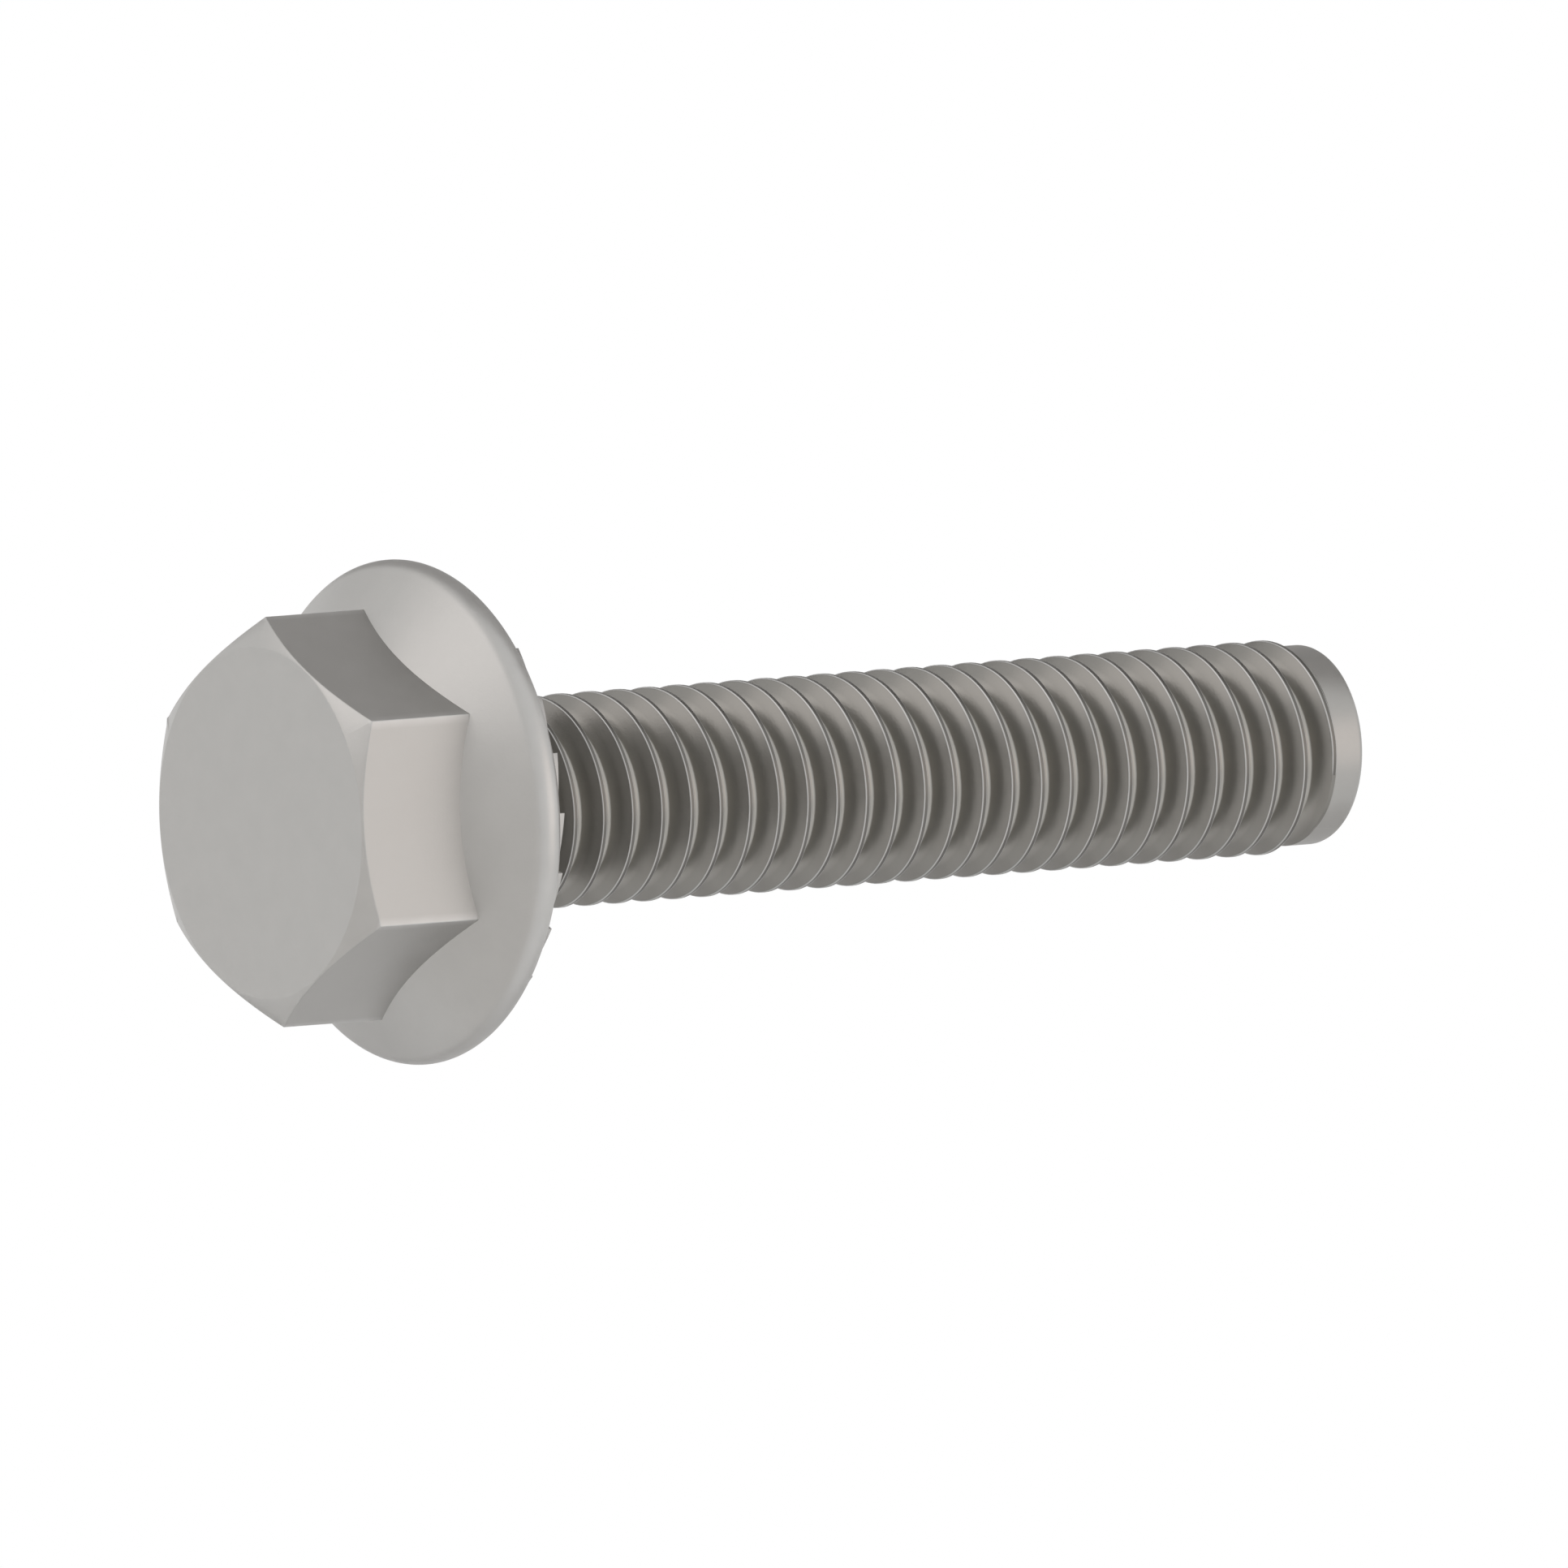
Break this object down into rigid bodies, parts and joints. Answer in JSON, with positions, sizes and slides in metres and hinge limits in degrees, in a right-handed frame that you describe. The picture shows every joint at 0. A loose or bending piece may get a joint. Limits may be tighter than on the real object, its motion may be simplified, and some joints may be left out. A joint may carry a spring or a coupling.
{
  "type": "serrated hexagon flange bolt",
  "caption": "Steel hexagon bolt with a wide conical flange that is serrated on its bearing side, and a shank with a metric right-hand thread along almost its whole length.",
  "frame": {"origin": "on the bolt's axis, in the plane of the head's top face, on which the bolt stands with its tip up", "axes": "+Z along the bolt's axis from the head's top face to the threaded tip, +X towards a corner of the hexagon, and +Y along the normal of one of its flats"},
  "size_m": [0.0142, 0.0142, 0.0358],
  "materials": {
    "steel": "satin"
  },
  "bodies": {
    "root": {"flange_bolt": "steel"}
  },
  "joints": []
}
